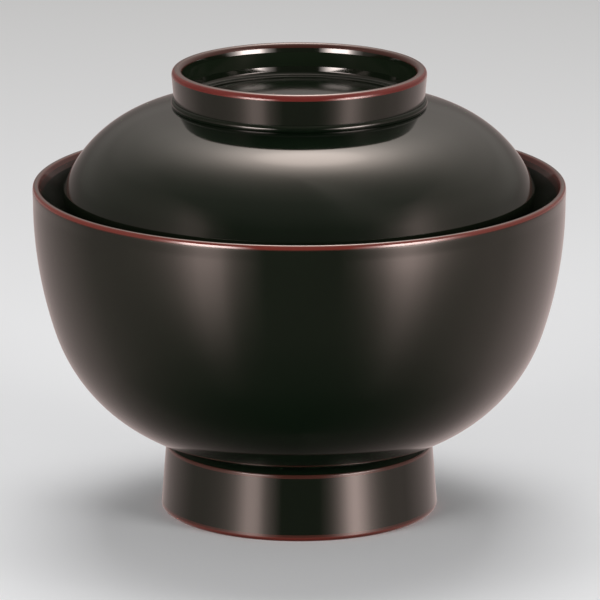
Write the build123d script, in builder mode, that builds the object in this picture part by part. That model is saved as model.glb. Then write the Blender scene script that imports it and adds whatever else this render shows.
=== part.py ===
from build123d import *
from math import asin, cos, degrees, radians, sin, sqrt, tan
import os

# A lacquer soup bowl with a lid, in millimetres. It stands on Z = 0, and all its pieces are turned about Z.
# The bowl body is glued into a foot ring. The lid dome carries a grip ring that is glued round its crown.

# Foot ring
foot_height = 16.4  # from the table to the seat under the belly
foot_base_radius = 31.5  # where the outer wall would meet the table
foot_top_radius = 30.3  # at the convex edge under the shoulder
foot_base_width = 3.4
foot_shoulder_drop = 1.3  # the shoulder leaves a narrow groove under the belly
foot_shoulder_inset = 1.2
foot_shoulder_round = 0.5
foot_outer_round = 1.0
foot_inner_round = 0.8
foot_bore_height = 4.5  # straight bore at the top, which takes the spigot

# Bowl body
rim_radius = 60.2
bowl_height = 75.4  # crest of the lip above the table
lip_round = 0.7  # radius of the crest
lip_bevel = 8.0  # slope of the lip's outer face, in degrees from vertical
lip_bevel_height = 0.5
lip_flare = 0.08  # how far the lip stands out from the belly
lip_flare_height = 2.9
mouth_angle = 24.5  # slope of the mouth, in degrees from vertical
mouth_depth = 15.0  # from the crest of the lip to the foot of the mouth
mouth_blend = 5.0
belly_upper_radius = 95.0
belly_upper_sweep = 18.1  # degrees
belly_foot_radius = 29.45  # where the belly meets the seat
wall_thickness = 6.0
floor_rise = 4.0  # inner floor above the seat
spigot_radius = 25.0
spigot_depth = 3.4

# Lid dome
lid_inset = 7.0  # from the outside of the rim to the lid's outer edge
lid_edge_round = 0.4
lid_flank = 24.0  # slope of the flank above the edge, in degrees from vertical
lid_flank_height = 2.2
lid_skirt_inset = 0.75  # the skirt under the edge draws in to its foot
lid_skirt_height = 13.4  # from the foot of the skirt to the edge
lid_foot_width = 2.6
lid_foot_round = 0.8
lid_wall = 4.2
lid_shoulder_radius = 20.0
lid_side_radius = 29.0
lid_shoulder_slope = 58.2  # slope where the side turns into the shoulder, in degrees
lid_crown_slope = 17.5  # slope where the crown turns into the side, in degrees
crown_spigot_radius = 24.4
crown_spigot_height = 0.7  # from the grip ring's seat to the crown's edge
crown_top_radius = 130.0  # of the crown inside the ring
crown_edge_round = 0.3

# Grip ring
grip_height = 8.35
grip_bead_radius = 28.9
grip_bead_height = 1.4
grip_bead_side = 0.55  # lower part of the bead's edge
grip_bead_undercut = 0.15  # how far the bead draws in at its foot
grip_bead_root = 0.5  # how far the bead draws in at its top
grip_waist_radius = 28.25
grip_top_radius = 28.75
grip_lip_round = 1.2  # radius of the crest
grip_bevel = 8.0  # slope of the lip's outer face, in degrees from vertical
grip_bevel_height = 0.3
grip_flare = 9.0  # slope of the lip's inner face
grip_flare_height = 1.0
grip_cove = 10.0  # slope at the foot of the inner wall
grip_cove_height = 2.0
grip_cove_round = 1.0
grip_flange_height = 1.1  # inner flange that closes on the crown
grip_bore_round = 0.25

# Fits
glue_gap = 0.15  # radial, in both glued joints
lid_clearance = 0.3  # between the lid's foot and the mouth

# Heights and points that follow from the sizes above
belly_radius = rim_radius - lip_flare
floor_level = foot_height + floor_rise
mouth_tan = tan(radians(mouth_angle))
mouth_foot_level = bowl_height - mouth_depth

# The round crest of the lip meets the bevel outside and the mouth's slope inside at a tangent
crest_level = bowl_height - lip_round
bevel_top_level = crest_level + lip_round * sin(radians(lip_bevel))
bevel_top_radius = rim_radius - lip_bevel_height * tan(radians(lip_bevel))
rim_level = bevel_top_level - lip_bevel_height
belly_top = rim_level - lip_flare_height
crest_radius = bevel_top_radius - lip_round * cos(radians(lip_bevel))
mouth_top_radius = crest_radius - lip_round * cos(radians(mouth_angle))
mouth_top_level = crest_level + lip_round * sin(radians(mouth_angle))
mouth_foot_radius = mouth_top_radius - (mouth_top_level - mouth_foot_level) * mouth_tan

# The round of the lid's foot rests on the slope of the mouth, with the clearance between them
lid_edge_radius = rim_radius - lid_inset
lid_foot_radius = lid_edge_radius - lid_skirt_inset
foot_round_radius = lid_foot_radius - lid_foot_round
foot_round_reach = (lid_foot_round + lid_clearance) / cos(radians(mouth_angle))
foot_round_level = mouth_top_level - (mouth_top_radius - foot_round_radius - foot_round_reach) / mouth_tan
lid_foot_level = foot_round_level - lid_foot_round
lid_edge_level = lid_foot_level + lid_skirt_height
flank_top_level = lid_edge_level + lid_flank_height
flank_top_radius = lid_edge_radius - lid_flank_height * tan(radians(lid_flank))

# Centres of the three arcs of the dome, which share their tangents with each other and with the flank
shoulder_sin = sin(radians(lid_shoulder_slope))
shoulder_cos = cos(radians(lid_shoulder_slope))
crown_sin = sin(radians(lid_crown_slope))
crown_cos = cos(radians(lid_crown_slope))
shoulder_centre = (
    flank_top_radius - lid_shoulder_radius * cos(radians(lid_flank)),
    flank_top_level - lid_shoulder_radius * sin(radians(lid_flank)),
)
side_offset = lid_side_radius - lid_shoulder_radius
side_centre = (
    shoulder_centre[0] - side_offset * shoulder_sin,
    shoulder_centre[1] - side_offset * shoulder_cos,
)
crown_offset = side_centre[0] / crown_sin
crown_radius = lid_side_radius + crown_offset
crown_centre = (0, side_centre[1] - crown_offset * crown_cos)

# The grip ring's seat is cut where the crown is as wide as the ring's base
grip_seat_radius = grip_bead_radius - grip_bead_root
grip_seat_slope = degrees(asin(grip_seat_radius / crown_radius))
grip_seat_level = crown_centre[1] + sqrt(crown_radius**2 - grip_seat_radius**2)

# The crown inside the ring is flatter and ends in a round edge that meets it and its spigot at a tangent
crown_top_depth = sqrt(crown_top_radius**2 - crown_spigot_radius**2)
crown_top_centre = (0, grip_seat_level + crown_spigot_height - crown_top_depth)
crown_top_level = crown_top_centre[1] + crown_top_radius
edge_arc_radius = crown_top_radius - crown_edge_round
crown_edge_centre = crown_spigot_radius - crown_edge_round
crown_edge_slope = degrees(asin(crown_edge_centre / edge_arc_radius))
crown_edge_level = crown_top_centre[1] + sqrt(edge_arc_radius**2 - crown_edge_centre**2)

# Levels of the grip ring
grip_top_level = grip_seat_level + grip_height
grip_bead_top = grip_seat_level + grip_bead_height
grip_foot_radius = grip_bead_radius - grip_bead_undercut
grip_flange_level = grip_seat_level + grip_flange_height
grip_bore_radius = crown_spigot_radius + glue_gap

# The grip ring's round crest meets its outer bevel and its inner flare at a tangent
grip_crest_level = grip_top_level - grip_lip_round
grip_bevel_top = grip_crest_level + grip_lip_round * sin(radians(grip_bevel))
grip_bevel_level = grip_bevel_top - grip_bevel_height
grip_bevel_radius = grip_top_radius - grip_bevel_height * tan(radians(grip_bevel))
grip_crest_radius = grip_bevel_radius - grip_lip_round * cos(radians(grip_bevel))
grip_flare_top = grip_crest_level + grip_lip_round * sin(radians(grip_flare))
grip_flare_radius = grip_crest_radius - grip_lip_round * cos(radians(grip_flare))
grip_wall_radius = grip_flare_radius - grip_flare_height * tan(radians(grip_flare))
grip_cove_level = grip_flange_level + grip_cove_height
grip_cove_foot = (grip_wall_radius - grip_cove_height * tan(radians(grip_cove)), grip_flange_level)


# Bowl body: belly in two tangent arcs, bevelled lip, sloped mouth and a hollow with an even wall
with BuildPart() as bowl_body:
    with BuildSketch(Plane.XZ) as bowl_section:
        with BuildLine():
            upper = JernArc((belly_radius, belly_top), (0, -1), belly_upper_radius, -belly_upper_sweep)
            TangentArc(upper @ 1, (belly_foot_radius, foot_height), tangent=upper % 1)
            Polyline(
                (belly_foot_radius, foot_height),
                (spigot_radius, foot_height),
                (spigot_radius, foot_height - spigot_depth),
                (0, foot_height - spigot_depth),
                (0, floor_level),
            )
            Spline((belly_radius, belly_top), (rim_radius, rim_level), tangents=((0, 1), (0, 1)))
            bevel = Line((rim_radius, rim_level), (bevel_top_radius, bevel_top_level))
            lip = JernArc(bevel @ 1, bevel % 1, lip_round, 180 - lip_bevel - mouth_angle)
            Line(lip @ 1, (mouth_foot_radius, mouth_foot_level))
            down = upper % 1
            inner = upper @ 1 + Vector(down.Y, -down.X) * wall_thickness
            hollow_radius = (inner.Y - floor_level) / (1 + down.X)
            TangentArc(inner, (mouth_foot_radius, mouth_foot_level), tangent=-down)
            hollow = JernArc(inner, down, hollow_radius, belly_upper_sweep - 90)
            Line(hollow @ 1, (0, floor_level))
        make_face()
        mouth_foot = bowl_section.vertices().sort_by_distance((mouth_foot_radius, mouth_foot_level)).first
        fillet(mouth_foot, radius=mouth_blend)
    revolve(axis=Axis.Z)

# Foot ring: flared wall, round bottom edge, eased shoulder under the belly and a bore for the spigot
with BuildPart() as foot_ring:
    foot_bore_radius = spigot_radius + glue_gap
    with BuildSketch(Plane.XZ):
        with BuildLine():
            FilletPolyline(
                (foot_bore_radius, foot_height),
                (foot_top_radius - foot_shoulder_inset, foot_height),
                (foot_top_radius, foot_height - foot_shoulder_drop),
                (foot_base_radius, 0),
                (foot_base_radius - foot_base_width, 0),
                (foot_bore_radius, foot_height - foot_bore_height),
                radius=(0, 0, foot_shoulder_round, foot_outer_round, foot_inner_round, 0),
                close=True,
            )
        make_face()
    revolve(axis=Axis.Z)

# Lid dome: drawn-in skirt, edge, flank, shoulder, side and crown outside, the arcs one wall deeper inside
with BuildPart() as lid_dome:
    with BuildSketch(Plane.XZ) as lid_section:
        with BuildLine():
            crown_sweep = lid_crown_slope - grip_seat_slope
            CenterArc(crown_centre, crown_radius, 90 - lid_crown_slope, crown_sweep)
            CenterArc(crown_top_centre, crown_top_radius, 90 - crown_edge_slope, crown_edge_slope)
            CenterArc((crown_edge_centre, crown_edge_level), crown_edge_round, 0, 90 - crown_edge_slope)
            Polyline(
                (grip_seat_radius, grip_seat_level),
                (crown_spigot_radius, grip_seat_level),
                (crown_spigot_radius, crown_edge_level),
            )
            Line((0, crown_top_level), (0, crown_centre[1] + crown_radius - lid_wall))
            CenterArc(crown_centre, crown_radius - lid_wall, 90 - lid_crown_slope, lid_crown_slope)
            side_start = 90 - lid_shoulder_slope
            side_sweep = lid_shoulder_slope - lid_crown_slope
            for depth in (0, lid_wall):
                CenterArc(side_centre, lid_side_radius - depth, side_start, side_sweep)
            CenterArc(shoulder_centre, lid_shoulder_radius, lid_flank, side_start - lid_flank)
            CenterArc(shoulder_centre, lid_shoulder_radius - lid_wall, 0, side_start)
            Polyline(
                (flank_top_radius, flank_top_level),
                (lid_edge_radius, lid_edge_level),
                (lid_foot_radius, lid_foot_level),
                (lid_foot_radius - lid_foot_width, lid_foot_level),
                (shoulder_centre[0] + lid_shoulder_radius - lid_wall, shoulder_centre[1]),
            )
        make_face()
        lid_edge = lid_section.vertices().sort_by_distance((lid_edge_radius, lid_edge_level)).first
        fillet(lid_edge, radius=lid_edge_round)
        foot_corners = lid_section.vertices().group_by(Axis.Y)[0]
        fillet(foot_corners, radius=lid_foot_round)
    revolve(axis=Axis.Z)

# Grip ring: bead at the base, drawn-in wall, bevelled lip and an inner flange round the crown
with BuildPart() as grip_ring:
    with BuildSketch(Plane.XZ) as grip_section:
        with BuildLine():
            bead_side = Line(
                (grip_foot_radius, grip_seat_level),
                (grip_bead_radius, grip_seat_level + grip_bead_side),
            )
            TangentArc(bead_side @ 1, (grip_seat_radius, grip_bead_top), tangent=(0, 1))
            Polyline(
                (grip_seat_radius, grip_bead_top),
                (grip_waist_radius, grip_bead_top),
                (grip_top_radius, grip_bevel_level),
            )
            outside = Line((grip_top_radius, grip_bevel_level), (grip_bevel_radius, grip_bevel_top))
            crest = JernArc(outside @ 1, outside % 1, grip_lip_round, 180 - grip_bevel - grip_flare)
            Polyline(
                crest @ 1,
                (grip_wall_radius, grip_flare_top - grip_flare_height),
                (grip_wall_radius, grip_cove_level),
                grip_cove_foot,
                (grip_bore_radius, grip_flange_level),
                (grip_bore_radius, grip_seat_level),
                (grip_foot_radius, grip_seat_level),
            )
        make_face()
        cove_foot = grip_section.vertices().sort_by_distance(grip_cove_foot).first
        fillet(cove_foot, radius=grip_cove_round)
        bore_edge = grip_section.vertices().sort_by_distance((grip_bore_radius, grip_flange_level)).first
        fillet(bore_edge, radius=grip_bore_round)
    revolve(axis=Axis.Z)

bowl_body.part.label = "bowl_body"
foot_ring.part.label = "foot_ring"
lid_dome.part.label = "lid_dome"
grip_ring.part.label = "grip_ring"

os.makedirs("parts", exist_ok=True)
export_step(bowl_body.part, "parts/bowl_body.step")
export_step(foot_ring.part, "parts/foot_ring.step")
export_step(lid_dome.part, "parts/lid_dome.step")
export_step(grip_ring.part, "parts/grip_ring.step")
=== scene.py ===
from math import asin, atan2, ceil, cos, degrees, hypot, pi, radians, sin, sqrt, tan

import bpy
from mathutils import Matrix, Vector


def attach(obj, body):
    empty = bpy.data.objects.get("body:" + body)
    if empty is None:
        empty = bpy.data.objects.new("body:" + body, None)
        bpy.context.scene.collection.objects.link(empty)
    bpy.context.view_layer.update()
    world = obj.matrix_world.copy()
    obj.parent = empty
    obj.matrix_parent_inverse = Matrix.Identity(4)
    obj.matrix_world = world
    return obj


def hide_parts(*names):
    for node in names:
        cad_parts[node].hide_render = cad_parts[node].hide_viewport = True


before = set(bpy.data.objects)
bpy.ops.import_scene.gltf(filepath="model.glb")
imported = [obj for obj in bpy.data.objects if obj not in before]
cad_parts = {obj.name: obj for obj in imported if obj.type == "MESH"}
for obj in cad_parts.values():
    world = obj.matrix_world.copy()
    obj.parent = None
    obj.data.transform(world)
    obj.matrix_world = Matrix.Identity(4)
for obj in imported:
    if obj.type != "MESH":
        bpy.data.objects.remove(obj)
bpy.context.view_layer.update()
scene = bpy.context.scene
MM = 0.001  # metres in a millimetre

# Outlines are lists of (radius, height) points in millimetres, turned about the Z axis

ARC_STEP = 5.0  # degrees between the points of an arc, finer on large arcs
EASE_STEP = 8.0  # the same on rounded corners
BEAD_STEP = 6.0  # the ring's bead and the foot's base
HOLLOW_STEP = 3.0  # the bowl's hollow and the foot of its mouth
SHOULDER_STEP = 2.0  # the lower belly and the lid's shoulder
SIDE_STEP = 1.5  # the lid's side
BELLY_STEP = 1.0  # the upper belly and the inside behind it
CROWN_STEP = 0.5  # the lid's crown
LINE_STEP = 2.0  # millimetres between the points of a straight run
FLOOR_STEP = 4.0  # the same on the bowl's floor
BLEND_STEPS = 8  # spans in the soft S under the bowl's lip
TURN_STEPS = 256  # points around each piece
SHARP_TURN = 28.0  # degrees at which an outline's corner stays a hard edge
GUARD = 0.12  # millimetres at the ends of a straight run in which its shading turns
TOUCH = 1e-6  # millimetres within which two points are one


def apart(first, last):
    return hypot(last[0] - first[0], last[1] - first[1])


def arc(centre, radius, start, end, step=ARC_STEP):
    count = max(2, ceil(abs(end - start) / step))
    angles = [radians(start + (end - start) * part / count) for part in range(count + 1)]
    return [(centre[0] + radius * cos(angle), centre[1] + radius * sin(angle)) for angle in angles]


def arc_through(centre, first, last, step=ARC_STEP):
    """The shorter arc about the centre from the first point to the last."""
    radius = apart(centre, first)
    start = degrees(atan2(first[1] - centre[1], first[0] - centre[0]))
    turn = degrees(atan2(last[1] - centre[1], last[0] - centre[0])) - start
    turn = (turn + 180) % 360 - 180
    return arc(centre, radius, start, start + turn, step)


def tangent_arc(first, tangent, last, step=ARC_STEP):
    """The arc that leaves the first point along the tangent and ends in the last."""
    normal = (-tangent[1], tangent[0])
    chord = (last[0] - first[0], last[1] - first[1])
    reach = (chord[0] ** 2 + chord[1] ** 2) / (2 * (normal[0] * chord[0] + normal[1] * chord[1]))
    return arc_through((first[0] + normal[0] * reach, first[1] + normal[1] * reach), first, last, step)


def eased(before, corner, after, radius, step=EASE_STEP):
    """The corner of an outline, rounded by the radius."""
    one = Vector(before) - Vector(corner)
    two = Vector(after) - Vector(corner)
    one.normalize()
    two.normalize()
    half = one.angle(two) / 2
    middle = (one + two).normalized()
    centre = Vector(corner) + middle * (radius / sin(half))
    run = radius / tan(half)
    return arc_through(centre, Vector(corner) + one * run, Vector(corner) + two * run, step)


def blend_line(first, last):
    """A soft S from the first point to the last, upright at both ends."""
    across, up = last[0] - first[0], last[1] - first[1]
    shares = [part / BLEND_STEPS for part in range(BLEND_STEPS + 1)]
    return [(first[0] + across * share * share * (3 - 2 * share), first[1] + up * share) for share in shares]


def straight(first, last, length=LINE_STEP):
    """A straight run with points at even steps and close to both ends."""
    across, up = last[0] - first[0], last[1] - first[1]
    total = apart(first, last)
    count = max(1, ceil((total - 2 * GUARD) / length))
    steps = [GUARD + (total - 2 * GUARD) * part / count for part in range(count + 1)]
    shares = [0.0] + [step / total for step in steps] + [1.0]
    return [(first[0] + across * share, first[1] + up * share) for share in shares]


# Sizes, in millimetres and degrees, as in the CAD model

foot_height = 16.4
foot_base_radius = 31.5
foot_top_radius = 30.3
foot_base_width = 3.4
foot_shoulder_drop = 1.3
foot_shoulder_inset = 1.2
foot_shoulder_round = 0.5
foot_outer_round = 1.0
foot_inner_round = 0.8
foot_bore_height = 4.5

rim_radius = 60.2
bowl_height = 75.4
lip_round = 0.7
lip_bevel = 8.0
lip_bevel_height = 0.5
lip_flare = 0.08
lip_flare_height = 2.9
mouth_angle = 24.5
mouth_depth = 15.0
mouth_blend = 5.0
belly_upper_radius = 95.0
belly_upper_sweep = 18.1
belly_foot_radius = 29.45
wall_thickness = 6.0
floor_rise = 4.0
spigot_radius = 25.0
spigot_depth = 3.4

lid_inset = 7.0
lid_edge_round = 0.4
lid_flank = 24.0
lid_flank_height = 2.2
lid_skirt_inset = 0.75
lid_skirt_height = 13.4
lid_foot_width = 2.6
lid_foot_round = 0.8
lid_wall = 4.2
lid_shoulder_radius = 20.0
lid_side_radius = 29.0
lid_shoulder_slope = 58.2
lid_crown_slope = 17.5
crown_spigot_radius = 24.4
crown_spigot_height = 0.7
crown_top_radius = 130.0
crown_edge_round = 0.3

grip_height = 8.35
grip_bead_radius = 28.9
grip_bead_height = 1.4
grip_bead_side = 0.55
grip_bead_undercut = 0.15
grip_bead_root = 0.5
grip_waist_radius = 28.25
grip_top_radius = 28.75
grip_lip_round = 1.2
grip_bevel = 8.0
grip_bevel_height = 0.3
grip_flare = 9.0
grip_flare_height = 1.0
grip_cove = 10.0
grip_cove_height = 2.0
grip_cove_round = 1.0
grip_flange_height = 1.1
grip_bore_round = 0.25

glue_gap = 0.15
lid_clearance = 0.3

# Where the lacquer changes, in millimetres and degrees

RED_OUTSIDE = 60.0  # where the red of a lip's outside ends and the painted highlight on its top begins, in degrees
RED_INSIDE = 115.0  # where that painted highlight ends and the red of a lip's inside begins
RED_SIDE = 0.3  # depth to which the red runs down the outside
RED_MOUTH = 0.7  # depth to which the red runs down the mouth
BROWN_MOUTH = 1.8  # depth to which it fades to brown
FOOT_BROWN = 0.5  # height of the brown at both ends of the foot's side
BEAD_UNSHADED = 5  # points of the ring's bead that stay polished; past them the dull finish is painted shade of the groove

# Bowl body

lean = radians(mouth_angle)
bevel = radians(lip_bevel)
crest_level = bowl_height - lip_round
bevel_top = (rim_radius - lip_bevel_height * tan(bevel), crest_level + lip_round * sin(bevel))
rim_level = bevel_top[1] - lip_bevel_height
crest_centre = (bevel_top[0] - lip_round * cos(bevel), crest_level)
belly_radius = rim_radius - lip_flare
belly_top = rim_level - lip_flare_height
floor_level = foot_height + floor_rise
mouth_top = (crest_centre[0] - lip_round * cos(lean), crest_level + lip_round * sin(lean))
mouth_foot_level = bowl_height - mouth_depth
mouth_foot = (mouth_top[0] - (mouth_top[1] - mouth_foot_level) * tan(lean), mouth_foot_level)

turn = radians(belly_upper_sweep)
belly_centre = (belly_radius - belly_upper_radius, belly_top)
belly_upper = arc(belly_centre, belly_upper_radius, 0, -belly_upper_sweep, BELLY_STEP)
belly_joint = belly_upper[-1]
belly_foot = (belly_foot_radius, foot_height)
belly_lower = tangent_arc(belly_joint, (-sin(turn), -cos(turn)), belly_foot, SHOULDER_STEP)
inner_joint = (belly_joint[0] - wall_thickness * cos(turn), belly_joint[1] + wall_thickness * sin(turn))
hollow_radius = (inner_joint[1] - floor_level) / (1 - sin(turn))
hollow_centre = (inner_joint[0] - hollow_radius * cos(turn), floor_level + hollow_radius)
hollow_upper = tangent_arc(inner_joint, (sin(turn), cos(turn)), mouth_foot, BELLY_STEP)
hollow_lower = arc(hollow_centre, hollow_radius, -belly_upper_sweep, -90, HOLLOW_STEP)
mouth_ease = eased(mouth_top, mouth_foot, hollow_upper[-2], mouth_blend, HOLLOW_STEP)
red_end = (mouth_top[0] - RED_MOUTH * tan(lean), mouth_top[1] - RED_MOUTH)
brown_end = (mouth_top[0] - BROWN_MOUTH * tan(lean), mouth_top[1] - BROWN_MOUTH)
red_side_end = (bevel_top[0] + RED_SIDE * tan(bevel), bevel_top[1] - RED_SIDE)

bowl_runs = [
    ("inner", [(0, foot_height - spigot_depth), (spigot_radius, foot_height - spigot_depth)]),
    ("inner", [(spigot_radius, foot_height), belly_foot]),
    ("outer", belly_lower[::-1] + belly_upper[::-1][1:]),
    ("outer", blend_line((belly_radius, belly_top), (rim_radius, rim_level))),
    ("edge", straight((rim_radius, rim_level), red_side_end)),
    ("red", straight(red_side_end, bevel_top)),
    ("red", arc(crest_centre, lip_round, lip_bevel, RED_OUTSIDE)),
    # painted highlight: the top of the lip, greyer and more specular than the red
    ("crest_painted_highlight", arc(crest_centre, lip_round, RED_OUTSIDE, RED_INSIDE)),
    ("red", arc(crest_centre, lip_round, RED_INSIDE, 180 - mouth_angle)),
    ("red", straight(mouth_top, red_end)),
    ("edge", straight(red_end, brown_end)),
    ("inside", straight(brown_end, mouth_ease[0]) + mouth_ease[1:]),
    ("inside", [point for point in hollow_upper[::-1] if point[1] < mouth_ease[-1][1]]),
    ("inside", hollow_lower),
    ("inside", straight((hollow_centre[0], floor_level), (0, floor_level), FLOOR_STEP)),
]

# Foot ring

foot_bore_radius = spigot_radius + glue_gap
foot_top = (foot_top_radius - foot_shoulder_inset, foot_height)
foot_edge = (foot_top_radius, foot_height - foot_shoulder_drop)
foot_base = (foot_base_radius, 0)
foot_inner = (foot_base_radius - foot_base_width, 0)
foot_bore_end = (foot_bore_radius, foot_height - foot_bore_height)
foot_edge_ease = eased(foot_top, foot_edge, foot_base, foot_shoulder_round)
foot_base_ease = eased(foot_edge, foot_base, foot_inner, foot_outer_round, BEAD_STEP)
foot_inner_ease = eased(foot_base, foot_inner, foot_bore_end, foot_inner_round)
foot_side = Vector(foot_base_ease[0]) - Vector(foot_edge_ease[-1])
foot_brown = foot_side.normalized() * FOOT_BROWN
foot_brown_top = tuple(Vector(foot_edge_ease[-1]) + foot_brown)
foot_brown_base = tuple(Vector(foot_base_ease[0]) - foot_brown)

foot_runs = [
    ("outer", [(foot_bore_radius, foot_height), foot_top]),
    ("outer", straight(foot_top, foot_edge_ease[0])),
    ("edge", foot_edge_ease),
    ("edge", straight(foot_edge_ease[-1], foot_brown_top)),
    ("outer", straight(foot_brown_top, foot_brown_base)),
    ("edge", straight(foot_brown_base, foot_base_ease[0])),
    ("worn_red", foot_base_ease),
    ("worn_red", [foot_base_ease[-1], foot_inner_ease[0]]),
    ("inner", foot_inner_ease),
    ("inner", straight(foot_inner_ease[-1], foot_bore_end)),
    ("inner", [foot_bore_end, (foot_bore_radius, foot_height)]),
]

# Lid dome

flank = radians(lid_flank)
lid_edge_radius = rim_radius - lid_inset
lid_foot_radius = lid_edge_radius - lid_skirt_inset
foot_reach = (lid_foot_round + lid_clearance) / cos(lean)
foot_inset = mouth_top[0] - lid_foot_radius + lid_foot_round - foot_reach
foot_round_level = mouth_top[1] - foot_inset / tan(lean)
lid_foot_level = foot_round_level - lid_foot_round
lid_edge = (lid_edge_radius, lid_foot_level + lid_skirt_height)
flank_top = (lid_edge_radius - lid_flank_height * tan(flank), lid_edge[1] + lid_flank_height)
shoulder_centre = (
    flank_top[0] - lid_shoulder_radius * cos(flank),
    flank_top[1] - lid_shoulder_radius * sin(flank),
)
side_offset = lid_side_radius - lid_shoulder_radius
side_centre = (
    shoulder_centre[0] - side_offset * sin(radians(lid_shoulder_slope)),
    shoulder_centre[1] - side_offset * cos(radians(lid_shoulder_slope)),
)
crown_offset = side_centre[0] / sin(radians(lid_crown_slope))
crown_radius = lid_side_radius + crown_offset
crown_centre = (0, side_centre[1] - crown_offset * cos(radians(lid_crown_slope)))
grip_seat_radius = grip_bead_radius - grip_bead_root
grip_seat_slope = degrees(asin(grip_seat_radius / crown_radius))
grip_seat_level = crown_centre[1] + sqrt(crown_radius**2 - grip_seat_radius**2)
crown_top_depth = sqrt(crown_top_radius**2 - crown_spigot_radius**2)
crown_top_centre = (0, grip_seat_level + crown_spigot_height - crown_top_depth)
crown_edge_radius = crown_spigot_radius - crown_edge_round
edge_arc_radius = crown_top_radius - crown_edge_round
crown_edge_slope = degrees(asin(crown_edge_radius / edge_arc_radius))
crown_edge_level = crown_top_centre[1] + sqrt(edge_arc_radius**2 - crown_edge_radius**2)
crown_edge_centre = (crown_edge_radius, crown_edge_level)
lid_foot_outer = (lid_foot_radius, lid_foot_level)
lid_foot_inner = (lid_foot_radius - lid_foot_width, lid_foot_level)
lid_inner_top = (shoulder_centre[0] + lid_shoulder_radius - lid_wall, shoulder_centre[1])
lid_edge_ease = eased(flank_top, lid_edge, lid_foot_outer, lid_edge_round)
lid_outer_ease = eased(lid_edge, lid_foot_outer, lid_foot_inner, lid_foot_round)
lid_inner_ease = eased(lid_foot_outer, lid_foot_inner, lid_inner_top, lid_foot_round)


def dome_arcs(depth, crown_start, shoulder_end):
    """Crown from the given slope outwards, side and shoulder, at a depth under the outside."""
    crown_end = 90 - lid_crown_slope
    side_end = 90 - lid_shoulder_slope
    crown = arc(crown_centre, crown_radius - depth, 90 - crown_start, crown_end, CROWN_STEP)
    side = arc(side_centre, lid_side_radius - depth, crown_end, side_end, SIDE_STEP)
    shoulder = arc(shoulder_centre, lid_shoulder_radius - depth, side_end, shoulder_end, SHOULDER_STEP)
    return crown + side[1:] + shoulder[1:]


lid_runs = [
    ("crown", arc(crown_top_centre, crown_top_radius, 90, 90 - crown_edge_slope, CROWN_STEP)),
    ("crown", arc(crown_edge_centre, crown_edge_round, 90 - crown_edge_slope, 0, EASE_STEP)),
    ("crown", [(crown_spigot_radius, crown_edge_level), (crown_spigot_radius, grip_seat_level)]),
    ("outer", [(crown_spigot_radius, grip_seat_level), (grip_seat_radius, grip_seat_level)]),
    ("outer", dome_arcs(0, grip_seat_slope, lid_flank)),
    ("outer", straight(flank_top, lid_edge_ease[0])),
    ("inside", lid_edge_ease),
    ("inside", straight(lid_edge_ease[-1], lid_outer_ease[0])),
    ("inside", lid_outer_ease),
    ("inside", lid_inner_ease),
    ("inside", straight(lid_inner_ease[-1], lid_inner_top)),
    ("inside", dome_arcs(lid_wall, 0, 0)[::-1]),
]

# Grip ring

grip_bead_top = grip_seat_level + grip_bead_height
grip_flange_level = grip_seat_level + grip_flange_height
grip_bore_radius = crown_spigot_radius + glue_gap
slant = radians(grip_bevel)
flare = radians(grip_flare)
grip_crest_level = grip_seat_level + grip_height - grip_lip_round
grip_bevel_top = (
    grip_top_radius - grip_bevel_height * tan(slant),
    grip_crest_level + grip_lip_round * sin(slant),
)
grip_bevel_foot = (grip_top_radius, grip_bevel_top[1] - grip_bevel_height)
grip_crest = (grip_bevel_top[0] - grip_lip_round * cos(slant), grip_crest_level)
grip_flare_top = (
    grip_crest[0] - grip_lip_round * cos(flare),
    grip_crest_level + grip_lip_round * sin(flare),
)
grip_wall_radius = grip_flare_top[0] - grip_flare_height * tan(flare)
grip_flare_foot = (grip_wall_radius, grip_flare_top[1] - grip_flare_height)
grip_cove_top = (grip_wall_radius, grip_flange_level + grip_cove_height)
grip_cove_foot = (grip_wall_radius - grip_cove_height * tan(radians(grip_cove)), grip_flange_level)
grip_bore_edge = (grip_bore_radius, grip_flange_level)
grip_bead_edge = (grip_bead_radius, grip_seat_level + grip_bead_side)
grip_foot = (grip_bead_radius - grip_bead_undercut, grip_seat_level)
grip_waist = (grip_waist_radius, grip_bead_top)
grip_bead_end = (grip_seat_radius, grip_bead_top)
grip_bead_arc = tangent_arc(grip_bead_edge, (0, 1), grip_bead_end, BEAD_STEP)
grip_cove_ease = eased(grip_cove_top, grip_cove_foot, grip_bore_edge, grip_cove_round)
grip_bore_end = (grip_bore_radius, grip_seat_level)
grip_bore_ease = eased(grip_cove_foot, grip_bore_edge, grip_bore_end, grip_bore_round)

grip_runs = [
    ("outer", [grip_bore_end, grip_foot]),
    ("outer", straight(grip_foot, grip_bead_edge)),
    # The upper arc of the bead and the step above it take the dull finish as painted shade of the groove
    # between bead and wall
    ("outer", grip_bead_arc[:BEAD_UNSHADED]),
    ("inside", grip_bead_arc[BEAD_UNSHADED - 1:]),
    ("inside", [grip_bead_end, grip_waist]),
    ("outer", straight(grip_waist, grip_bevel_foot)),
    ("soft_red", straight(grip_bevel_foot, grip_bevel_top)),
    ("soft_red", arc(grip_crest, grip_lip_round, grip_bevel, RED_OUTSIDE)),
    # painted highlight: the top of the lip, greyer and more specular than the red
    ("crest_painted_highlight", arc(grip_crest, grip_lip_round, RED_OUTSIDE, RED_INSIDE)),
    ("edge", arc(grip_crest, grip_lip_round, RED_INSIDE, 180 - grip_flare)),
    ("inner", straight(grip_flare_top, grip_flare_foot)),
    ("wall", straight(grip_flare_foot, grip_cove_top)),
    ("inner", straight(grip_cove_top, grip_cove_ease[0])),
    ("inner", grip_cove_ease),
    ("inner", straight(grip_cove_ease[-1], grip_bore_ease[0])),
    ("inner", grip_bore_ease),
    ("inner", [grip_bore_ease[-1], grip_bore_end]),
]

# Lacquer finishes: colour, roughness and specular level

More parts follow.
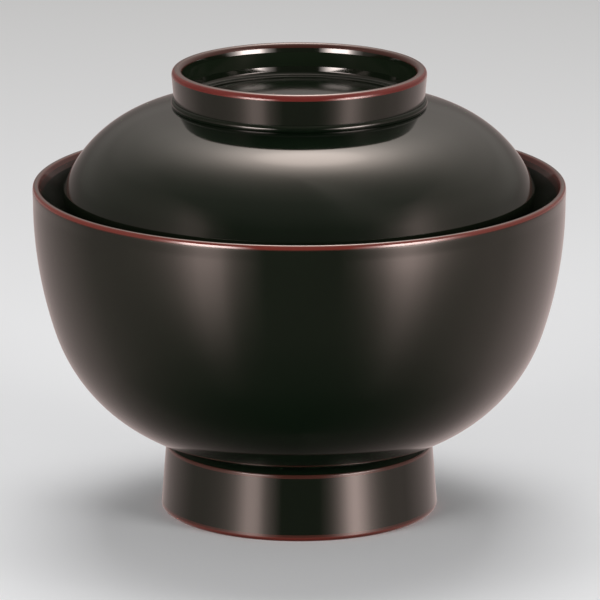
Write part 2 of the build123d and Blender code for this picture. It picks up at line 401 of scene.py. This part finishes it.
LACQUER = {
    "outer": ((0.0033, 0.0070, 0.0034), 0.08, 0.50),  # polished black outside
    "crown": ((0.0030, 0.0056, 0.0030), 0.13, 0.50),  # the lid's top inside the ring
    "inner": ((0.0075, 0.0115, 0.0062), 0.05, 0.55),  # the ring's inside and under the foot
    "wall": ((0.0105, 0.0165, 0.0085), 0.10, 0.25),  # the ring's upright inner wall
    "inside": ((0.0075, 0.0105, 0.0060), 0.20, 0.15),  # duller black in the bowl and under the lid; on the ring's bead it is painted shade of the groove above it
    "edge": ((0.055, 0.017, 0.012), 0.12, 0.45),  # brown where the red wears thin
    "crest_painted_highlight": ((0.075, 0.030, 0.024), 0.10, 0.95),  # the top of both lips, greyer than the red with a raised specular level: a painted highlight where the large lamp's reflection falls
    "red": ((0.145, 0.025, 0.018), 0.08, 0.60),  # the bowl's lip
    "soft_red": ((0.135, 0.020, 0.016), 0.16, 0.40),  # the ring's lip
    "worn_red": ((0.110, 0.021, 0.015), 0.14, 0.45),  # the foot's base
}
SPECULAR_TINT = (1.0, 0.90, 0.87, 1.0)
IOR = 1.5
CLOUD_SCALE = 110.0  # clouds of polish per metre
CLOUD_DETAIL = 3.0
COLOUR_CHANGE = 0.12  # share by which the clouds change the colour
POLISH_CHANGE = 0.15  # share by which they change the roughness
WAVE_HEIGHT = 0.0005  # metres
WAVE_STRENGTH = 0.02  # share of that height that shows


def lacquer(name):
    colour, roughness, level = LACQUER[name]
    material = bpy.data.materials.new(name + "_lacquer")
    material.use_nodes = True
    nodes = material.node_tree.nodes
    links = material.node_tree.links
    shader = nodes["Principled BSDF"]
    place = nodes.new("ShaderNodeTexCoord")
    clouds = nodes.new("ShaderNodeTexNoise")
    clouds.inputs["Scale"].default_value = CLOUD_SCALE
    clouds.inputs["Detail"].default_value = CLOUD_DETAIL
    links.new(place.outputs["Object"], clouds.inputs["Vector"])
    tones = nodes.new("ShaderNodeValToRGB")
    for stop, share in zip(tones.color_ramp.elements, (1 - COLOUR_CHANGE, 1 + COLOUR_CHANGE)):
        stop.color = (*(channel * share for channel in colour), 1.0)
    links.new(clouds.outputs["Fac"], tones.inputs["Fac"])
    links.new(tones.outputs["Color"], shader.inputs["Base Color"])
    polish = nodes.new("ShaderNodeMapRange")
    polish.inputs["To Min"].default_value = roughness * (1 - POLISH_CHANGE)
    polish.inputs["To Max"].default_value = roughness * (1 + POLISH_CHANGE)
    links.new(clouds.outputs["Fac"], polish.inputs["Value"])
    links.new(polish.outputs["Result"], shader.inputs["Roughness"])
    waves = nodes.new("ShaderNodeBump")
    waves.inputs["Strength"].default_value = WAVE_STRENGTH
    waves.inputs["Distance"].default_value = WAVE_HEIGHT
    links.new(clouds.outputs["Fac"], waves.inputs["Height"])
    links.new(waves.outputs["Normal"], shader.inputs["Normal"])
    shader.inputs["IOR"].default_value = IOR
    shader.inputs["Specular IOR Level"].default_value = level
    shader.inputs["Specular Tint"].default_value = SPECULAR_TINT
    return material


finishes = {name: lacquer(name) for name in LACQUER}

# Turned pieces


def joined(runs, closed):
    """The runs as one outline without double points, and the finish of each span between its points."""
    outline = []
    spans = []
    for kind, points in runs:
        for point in points:
            if outline and apart(point, outline[-1]) < TOUCH:
                continue
            if outline:
                spans.append(kind)
            outline.append(point)
    if closed and apart(outline[0], outline[-1]) < TOUCH:
        outline.pop()
    elif closed:
        spans.append(runs[-1][0])
    return outline, spans


def turned(name, runs, closed):
    """A mesh turned about Z from runs of an outline, each run with its own finish."""
    outline, spans = joined(runs, closed)
    kinds = list(dict.fromkeys(kind for kind, points in runs))
    vertices = []
    rings = []
    for radius, height in outline:
        steps = 1 if radius < TOUCH else TURN_STEPS
        rings.append((len(vertices), steps))
        for step in range(steps):
            angle = 2 * pi * step / steps
            vertices.append((radius * MM * cos(angle), radius * MM * sin(angle), height * MM))
    pairs = zip(outline, outline[1:] + outline[:1])
    area = sum(here[0] * after[1] - after[0] * here[1] for here, after in pairs)
    faces = []
    slots = []
    for (one, one_steps), (two, two_steps), kind in zip(rings, rings[1:] + rings[:1], spans):
        for step in range(TURN_STEPS):
            after = (step + 1) % TURN_STEPS
            corners = [
                one + step % one_steps,
                one + after % one_steps,
                two + after % two_steps,
                two + step % two_steps,
            ]
            if area < 0:
                corners.reverse()
            faces.append(list(dict.fromkeys(corners)))
            slots.append(kinds.index(kind))
    mesh = bpy.data.meshes.new(name)
    mesh.from_pydata(vertices, [], faces)
    for kind in kinds:
        mesh.materials.append(finishes[kind])
    mesh.polygons.foreach_set("material_index", slots)
    mesh.polygons.foreach_set("use_smooth", [True] * len(faces))
    mesh.update()
    mark_sharp(mesh, outline, rings, closed)
    item = bpy.data.objects.new(name, mesh)
    scene.collection.objects.link(item)
    return item


def mark_sharp(mesh, outline, rings, closed):
    """Hard edges along the rings where the outline turns sharply."""
    count = len(outline)
    corners = range(count) if closed else range(1, count - 1)
    sharp_rings = set()
    for corner in corners:
        before, here, after = (Vector(outline[place % count]) for place in (corner - 1, corner, corner + 1))
        if degrees((here - before).angle(after - here)) > SHARP_TURN:
            sharp_rings.add(corner)
    ring_of = [ring for ring, (start, steps) in enumerate(rings) for step in range(steps)]
    sharp = mesh.attributes.new("sharp_edge", "BOOLEAN", "EDGE")
    for edge in mesh.edges:
        one, two = (ring_of[vertex] for vertex in edge.vertices)
        if one == two and one in sharp_rings:
            sharp.data[edge.index].value = True


PIECES = [
    ("bowl", bowl_runs, False, "bowl_body", "bowl"),
    ("foot", foot_runs, True, "foot_ring", "bowl"),
    ("lid", lid_runs, False, "lid_dome", "lid"),
    ("grip", grip_runs, True, "grip_ring", "lid"),
]
for name, runs, closed, node, body in PIECES:
    piece = turned(name, runs, closed)
    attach(piece, body)
    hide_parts(node)

# Floor

FLOOR_HALF = 6.0  # metres from the middle to each side
FLOOR_ROUGHNESS = 0.9
# The far colour is painted shade: the floor's colour darkens towards the back where the light falls off
FLOOR_NEAR = (0.88, 0.88, 0.89, 1.0)
FLOOR_FAR_SHADE = (0.58, 0.575, 0.57, 1.0)
FLOOR_SHADE_FADE = (0.05, 0.60)  # metres behind the object over which the floor's colour darkens, painted shade of the light falling off towards the back
floor_mesh = bpy.data.meshes.new("floor")
floor_corners = [(x * FLOOR_HALF, y * FLOOR_HALF, 0) for x, y in ((-1, -1), (1, -1), (1, 1), (-1, 1))]
floor_mesh.from_pydata(floor_corners, [], [(0, 1, 2, 3)])
floor = bpy.data.objects.new("floor", floor_mesh)
scene.collection.objects.link(floor)
floor.visible_glossy = False
floor_paper = bpy.data.materials.new("floor_paper")
floor_paper.use_nodes = True
floor_tree = floor_paper.node_tree
floor_shader = floor_tree.nodes["Principled BSDF"]
floor_shader.inputs["Roughness"].default_value = FLOOR_ROUGHNESS
floor_shader.inputs["Specular IOR Level"].default_value = 0.0
floor_place = floor_tree.nodes.new("ShaderNodeTexCoord")
floor_split = floor_tree.nodes.new("ShaderNodeSeparateXYZ")
# painted shade: mixes the floor's colour towards the far shade colour behind the object
floor_shade_share = floor_tree.nodes.new("ShaderNodeMapRange")
floor_shade_share.inputs["From Min"].default_value = FLOOR_SHADE_FADE[0]
floor_shade_share.inputs["From Max"].default_value = FLOOR_SHADE_FADE[1]
floor_shade_mix = floor_tree.nodes.new("ShaderNodeMix")
floor_shade_mix.data_type = "RGBA"
mix_inputs = {socket.identifier: socket for socket in floor_shade_mix.inputs}
mix_outputs = {socket.identifier: socket for socket in floor_shade_mix.outputs}
mix_inputs["A_Color"].default_value = FLOOR_NEAR
mix_inputs["B_Color"].default_value = FLOOR_FAR_SHADE
floor_tree.links.new(floor_place.outputs["Object"], floor_split.inputs["Vector"])
floor_tree.links.new(floor_split.outputs["Y"], floor_shade_share.inputs["Value"])
floor_tree.links.new(floor_shade_share.outputs["Result"], mix_inputs["Factor_Float"])
floor_tree.links.new(mix_outputs["Result_Color"], floor_shader.inputs["Base Color"])
floor_mesh.materials.append(floor_paper)

# Directions: azimuth 0 points to the photographer and runs on to the right, elevation is above the table


def direction(azimuth, elevation):
    across, up = radians(azimuth), radians(elevation)
    return Vector((sin(across) * cos(up), -cos(across) * cos(up), sin(up)))


# Lamps for the soft light and the shadow, in degrees, metres and watts

AIM = Vector((0, 0, 0.04))  # in the middle of the bowl


def softbox(name, azimuth, elevation, distance, size, power):
    data = bpy.data.lights.new(name, "AREA")
    data.size = size
    data.energy = power
    lamp = bpy.data.objects.new(name, data)
    lamp.location = AIM + direction(azimuth, elevation) * distance
    lamp.rotation_euler = (AIM - lamp.location).to_track_quat("-Z", "Y").to_euler()
    lamp.visible_camera = False
    lamp.visible_glossy = False
    scene.collection.objects.link(lamp)


softbox("key", azimuth=178, elevation=66, distance=2.0, size=1.2, power=22.0)
softbox("fill_left", azimuth=-50, elevation=15, distance=1.4, size=0.8, power=10.8)
softbox("fill_right", azimuth=55, elevation=15, distance=2.0, size=0.8, power=19.0)

# World: plain pale light, and for mirrored rays the studio that the lacquer shows

AMBIENT = 0.25  # strength of the plain light
BACKDROP = 0.60  # strength of the background that the camera sees
WHITE = (1.0, 1.0, 1.0, 1.0)
TO_DEGREES = 180 / pi
STRIP_COLOUR = (1.02, 0.87, 0.83)
CORE_COLOUR = (1.0, 0.97, 0.95)
BOX_COLOUR = (1.09, 1.0, 0.93)
BOX_PLACE = (175, 65)  # azimuth and elevation of the large lamp
CEILING_COLOUR = (1.02, 1.0, 0.94)
WALL_COLOUR = (1.10, 1.0, 0.94)
TABLE_COLOUR = (1.18, 0.96, 0.92)

world = bpy.data.worlds.new("studio")
scene.world = world
world.use_nodes = True
tree = world.node_tree
tree.nodes.clear()


def link(value, socket):
    if isinstance(value, (int, float)):
        socket.default_value = value
    else:
        tree.links.new(value, socket)


def combined(kind, operation, first, second):
    """A node that works out one value from two."""
    node = tree.nodes.new(kind)
    node.operation = operation
    link(first, node.inputs[0])
    link(second, node.inputs[1])
    return node.outputs[0]


def calc(operation, first, second=0.0):
    return combined("ShaderNodeMath", operation, first, second)


def vector(operation, first, second):
    return combined("ShaderNodeVectorMath", operation, first, second)


def curve(value, stops):
    """A smooth curve of the value through (place, level) stops, flat beyond the first and the last."""
    low, high = stops[0][0], stops[-1][0]
    peak = max(level for place, level in stops)
    node = tree.nodes.new("ShaderNodeFloatCurve")
    points = node.mapping.curves[0].points
    while len(points) < len(stops):
        points.new(0.5, 0.5)  # moved to its stop below
    for point, (place, level) in zip(points, stops):
        point.location = ((place - low) / (high - low), level / peak)
        point.handle_type = "AUTO_CLAMPED"
    node.mapping.update()
    share = tree.nodes.new("ShaderNodeMapRange")
    link(value, share.inputs["Value"])
    share.inputs["From Min"].default_value = low
    share.inputs["From Max"].default_value = high
    link(share.outputs["Result"], node.inputs["Value"])
    return calc("MULTIPLY", node.outputs[0], peak)


def tinted(level, colour):
    node = tree.nodes.new("ShaderNodeVectorMath")
    node.operation = "SCALE"
    node.inputs[0].default_value = colour
    link(level, node.inputs["Scale"])
    return node.outputs[0]


coordinates = tree.nodes.new("ShaderNodeTexCoord")
split = tree.nodes.new("ShaderNodeSeparateXYZ")
tree.links.new(coordinates.outputs["Generated"], split.inputs["Vector"])
elevation = calc("MULTIPLY", calc("ARCSINE", split.outputs["Z"]), TO_DEGREES)
nearer = calc("MULTIPLY", split.outputs["Y"], -1.0)
azimuth = calc("MULTIPLY", calc("ARCTAN2", split.outputs["X"], nearer), TO_DEGREES)

# Two strip lamps beside the photographer, leaning outwards above the table, with bright cores

LEAN_START = 6.0  # elevation above which the strips lean
LEAN = 0.7  # degrees outwards per degree up
outwards = calc("MULTIPLY", calc("MAXIMUM", calc("SUBTRACT", elevation, LEAN_START), 0.0), LEAN)
left_across = curve(
    calc("ADD", azimuth, outwards),
    [(-100, 0), (-80, 0.05), (-67, 0.13), (-58, 0.29), (-53, 0.48), (-47, 0.80), (-41, 1), (-36, 0.90),
     (-32, 0.60), (-27, 0.28), (-21, 0.11), (-15, 0)],
)
right_across = curve(
    calc("SUBTRACT", azimuth, outwards),
    [(17, 0), (24, 0.06), (30, 0.18), (35, 0.37), (39, 0.60), (44, 0.90), (48, 1), (52, 0.87), (58, 0.56),
     (65, 0.26), (76, 0.08), (100, 0)],
)
left_up = curve(
    elevation,
    [(-60, 0), (-45, 0.12), (-38, 0.42), (-32, 0.95), (-24, 2.05), (-15, 3.5), (-8, 5.0), (-2, 3.6), (5, 2.0),
     (13, 1.1), (25, 0.68), (36, 0.45), (48, 0)],
)
right_up = curve(
    elevation,
    [(-60, 0), (-45, 0.15), (-38, 0.45), (-32, 0.9), (-24, 2.0), (-15, 4.6), (-8, 7.4), (-2, 4.8), (5, 3.0),
     (13, 2.0), (25, 1.35), (36, 0.75), (48, 0)],
)
left_core = curve(
    azimuth, [(-66, 0), (-58, 0.12), (-52, 0.5), (-46, 1), (-36, 1), (-30, 0.75), (-24, 0.25), (-19, 0)]
)
right_core = curve(
    azimuth, [(22, 0), (30, 0.15), (36, 0.55), (42, 1), (54, 1), (62, 0.55), (70, 0.15), (78, 0)]
)
core_up = curve(elevation, [(-5, 0), (-1, 6), (2, 20), (5, 26), (8, 16), (11, 3), (15, 0)])
strips = calc("ADD", calc("MULTIPLY", left_across, left_up), calc("MULTIPLY", right_across, right_up))
cores = calc("MULTIPLY", calc("ADD", left_core, right_core), core_up)

# A large lamp overhead and behind

off_axis = tree.nodes.new("ShaderNodeVectorMath")
off_axis.operation = "DOT_PRODUCT"
tree.links.new(coordinates.outputs["Generated"], off_axis.inputs[0])
off_axis.inputs[1].default_value = direction(*BOX_PLACE)
off_angle = calc("MULTIPLY", calc("ARCCOSINE", off_axis.outputs["Value"]), TO_DEGREES)
box_light = curve(
    off_angle,
    [(0, 8.6), (5, 8.2), (9, 6.8), (12, 4.8), (16, 3.2), (21, 1.75), (28, 0.78), (37, 0.25), (50, 0)],
)

# The room: the table below, pale walls at the sides, the ceiling above

table_up = curve(
    elevation,
    [(-90, 0.03), (-70, 0.06), (-56, 0.14), (-44, 0.27), (-30, 0.44), (-18, 0.46), (-4, 0.20), (10, 0)],
)
table_across = curve(
    azimuth,
    [(-180, 1.00), (-140, 1.12), (-100, 0.78), (-70, 0.56), (-40, 0.36), (0, 0.28), (35, 0.40), (65, 0.74),
     (100, 1.16), (140, 1.50), (180, 1.05)],
)
wall_up = curve(elevation, [(-8, 0), (4, 0.30), (14, 0.90), (26, 1), (38, 0.85), (50, 0.35), (62, 0)])
wall_across = curve(
    azimuth,
    [(-180, 0.40), (-140, 0.34), (-110, 0.27), (-80, 0.26), (-55, 0.15), (-30, 0.04), (25, 0.06), (50, 0.26),
     (75, 0.38), (100, 0.47), (140, 0.50), (180, 0.40)],
)
ceiling_up = curve(elevation, [(20, 0), (36, 0.14), (50, 0.35), (64, 0.56), (76, 0.66), (90, 0.55)])
ceiling_across = curve(
    azimuth,
    [(-180, 0.95), (-140, 0.80), (-100, 0.50), (-60, 0.50), (0, 0.48), (25, 0.62), (45, 0.90), (65, 0.76),
     (100, 0.68), (140, 0.95), (180, 0.95)],
)
table = calc("MULTIPLY", table_up, table_across)
walls = calc("MULTIPLY", wall_up, wall_across)
ceiling = calc("MULTIPLY", ceiling_up, ceiling_across)

lamp_light = vector("ADD", tinted(strips, STRIP_COLOUR), tinted(cores, CORE_COLOUR))
above = vector("ADD", tinted(box_light, BOX_COLOUR), tinted(ceiling, CEILING_COLOUR))
around = vector("ADD", tinted(table, TABLE_COLOUR), tinted(walls, WALL_COLOUR))
mirrored = vector("ADD", lamp_light, vector("ADD", above, around))
path = tree.nodes.new("ShaderNodeLightPath")
plain = calc("ADD", calc("MULTIPLY", path.outputs["Is Camera Ray"], BACKDROP - AMBIENT), AMBIENT)
studio = tree.nodes.new("ShaderNodeBackground")
tree.links.new(mirrored, studio.inputs["Color"])
soft = tree.nodes.new("ShaderNodeBackground")
tree.links.new(plain, soft.inputs["Strength"])
soft.inputs["Color"].default_value = WHITE
choice = tree.nodes.new("ShaderNodeMixShader")
tree.links.new(path.outputs["Is Glossy Ray"], choice.inputs["Fac"])
tree.links.new(soft.outputs[0], choice.inputs[1])
tree.links.new(studio.outputs[0], choice.inputs[2])
output = tree.nodes.new("ShaderNodeOutputWorld")
tree.links.new(choice.outputs[0], output.inputs["Surface"])
world.cycles.sampling_method = "NONE"  # the mirrored studio is no lamp

# Camera

CAMERA_ELEVATION = 14.38  # degrees
CAMERA_DISTANCE = 1.45  # metres
CAMERA_TARGET = Vector((0.00016, 0, 0.04795))
CAMERA_SENSOR = 36.0  # millimetres
CAMERA_LENS = 383.67  # millimetres
CAMERA_CLIP = (0.05, 50.0)  # metres
camera_data = bpy.data.cameras.new("camera")
camera_data.sensor_width = CAMERA_SENSOR
camera_data.lens = CAMERA_LENS
camera_data.clip_start, camera_data.clip_end = CAMERA_CLIP
camera = bpy.data.objects.new("camera", camera_data)
camera.location = CAMERA_TARGET + direction(0, CAMERA_ELEVATION) * CAMERA_DISTANCE
camera.rotation_euler = (CAMERA_TARGET - camera.location).to_track_quat("-Z", "Y").to_euler()
scene.collection.objects.link(camera)
scene.camera = camera

scene.view_settings.view_transform = "Standard"
